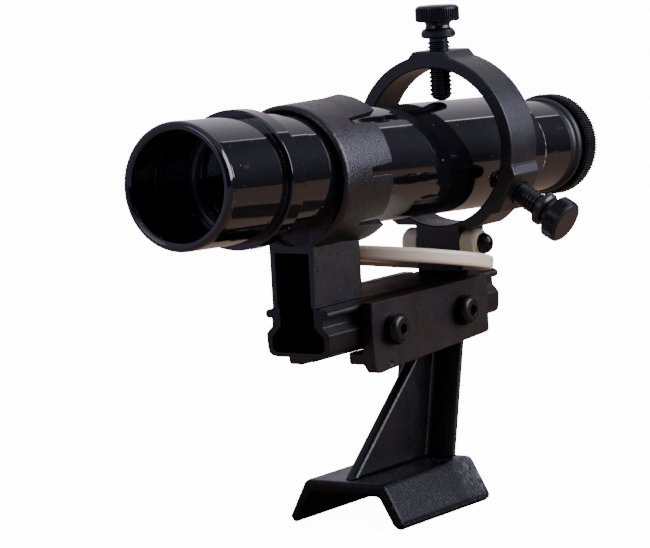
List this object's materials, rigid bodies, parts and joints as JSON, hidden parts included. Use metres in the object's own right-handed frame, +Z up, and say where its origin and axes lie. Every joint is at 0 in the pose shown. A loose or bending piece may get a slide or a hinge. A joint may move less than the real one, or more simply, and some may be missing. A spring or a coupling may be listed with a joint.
{
  "type": "finder scope",
  "caption": "Small straight-through finder scope in a collar-and-ring bracket with adjusting screws, on a dovetail rail clamped in a saddle foot.",
  "frame": {"origin": "centre of the foot's underside, midway between its two fixing holes", "axes": "+Z up through the pillar, +Y rearward along the rail and foot (the tube looks towards -Y), +X towards the clamp screws"},
  "size_m": [0.0751, 0.1795, 0.1235],
  "materials": {
    "black_casting": "satin black",
    "black_moulding": "satin black",
    "black_steel": "blackened, semi-gloss",
    "zinc_steel": "zinc plated",
    "ivory_nylon": "smooth, slightly waxy",
    "black_nylon": "semi-gloss",
    "rubber": "matt",
    "gloss_black": "high gloss",
    "inner_black": "matt",
    "satin_black": "satin",
    "glass": "coated"
  },
  "bodies": {
    "stand": {"foot": "black_casting", "pillar": "black_casting", "shoe": "black_casting"},
    "clamp_front": {"clamp_screw_front": "black_steel"},
    "clamp_rear": {"clamp_screw_rear": "black_steel"},
    "bracket": {"rail": "black_moulding", "front_collar": "black_moulding", "rear_ring": "black_moulding"},
    "thumb_top": {"thumbscrew_top": "black_nylon"},
    "thumb_right": {"thumbscrew_right": "black_nylon"},
    "thumb_left": {"thumbscrew_left": "black_nylon"},
    "plate": {"hinged_plate": "ivory_nylon", "pivot_screw": "black_steel", "pivot_nut": "zinc_steel"},
    "telescope": {"o_ring": "rubber", "objective_cell": "gloss_black", "lens_retainer": "inner_black", "front_lens": "glass", "rear_lens": "glass", "main_tube": "gloss_black", "baffle": "inner_black", "eyepiece_tube": "gloss_black", "eye_retainer": "inner_black", "reticle": "inner_black"},
    "eyepiece": {"eyepiece_cell": "inner_black", "field_lens": "glass", "eye_lens": "glass"},
    "focus_ring": {"focus_ring": "satin_black"}
  },
  "joints": [
    {"name": "rail_slide", "type": "slide", "parent": "stand", "child": "bracket", "axis": [0, 1, 0], "range_m": [-0.04, 0.04]},
    {"name": "clamp_front_travel", "type": "slide", "parent": "stand", "child": "clamp_front", "axis": [1, 0, 0], "range_m": [0, 0.003]},
    {"name": "clamp_rear_travel", "type": "slide", "parent": "stand", "child": "clamp_rear", "axis": [1, 0, 0], "range_m": [0, 0.003]},
    {"name": "tube_aim", "type": "hinge", "parent": "bracket", "child": "telescope", "pos_m": [0, -0.0265, 0.0879], "axis": [1, 0, 0], "range_deg": [-1.5, 1.5]},
    {"name": "plate_fold", "type": "hinge", "parent": "bracket", "child": "plate", "pos_m": [0, 0.031, 0.0634], "axis": [1, 0, 0], "range_deg": [-1, 10.5]},
    {"name": "focus_turn", "type": "hinge", "parent": "telescope", "child": "focus_ring", "pos_m": [-0.00411, 0.09129, 0.08214], "axis": [-0.0349, 0.9982, -0.0488], "range_deg": [-360, 360]},
    {"name": "eyepiece_travel", "type": "slide", "parent": "telescope", "child": "eyepiece", "axis": [-0.0349, 0.9982, -0.0488], "range_m": [-0.0016, 0.0016]},
    {"name": "thumb_top_travel", "type": "slide", "parent": "bracket", "child": "thumb_top", "axis": [0, 0, 1], "range_m": [-0.00155, 0.00155]},
    {"name": "thumb_right_travel", "type": "slide", "parent": "bracket", "child": "thumb_right", "axis": [0.866, 0, -0.5], "range_m": [-0.00051, 0.00051]},
    {"name": "thumb_left_travel", "type": "slide", "parent": "bracket", "child": "thumb_left", "axis": [-0.866, 0, -0.5], "range_m": [-0.00067, 0.00067]}
  ],
  "couplings": [
    {"joint": "thumb_top_travel", "follows": "tube_aim", "m_per_rad": 0.0593},
    {"joint": "thumb_right_travel", "follows": "tube_aim", "m_per_rad": -0.0195},
    {"joint": "thumb_left_travel", "follows": "tube_aim", "m_per_rad": -0.02555},
    {"joint": "eyepiece_travel", "follows": "focus_turn", "m_per_rad": 0.00023873}
  ]
}
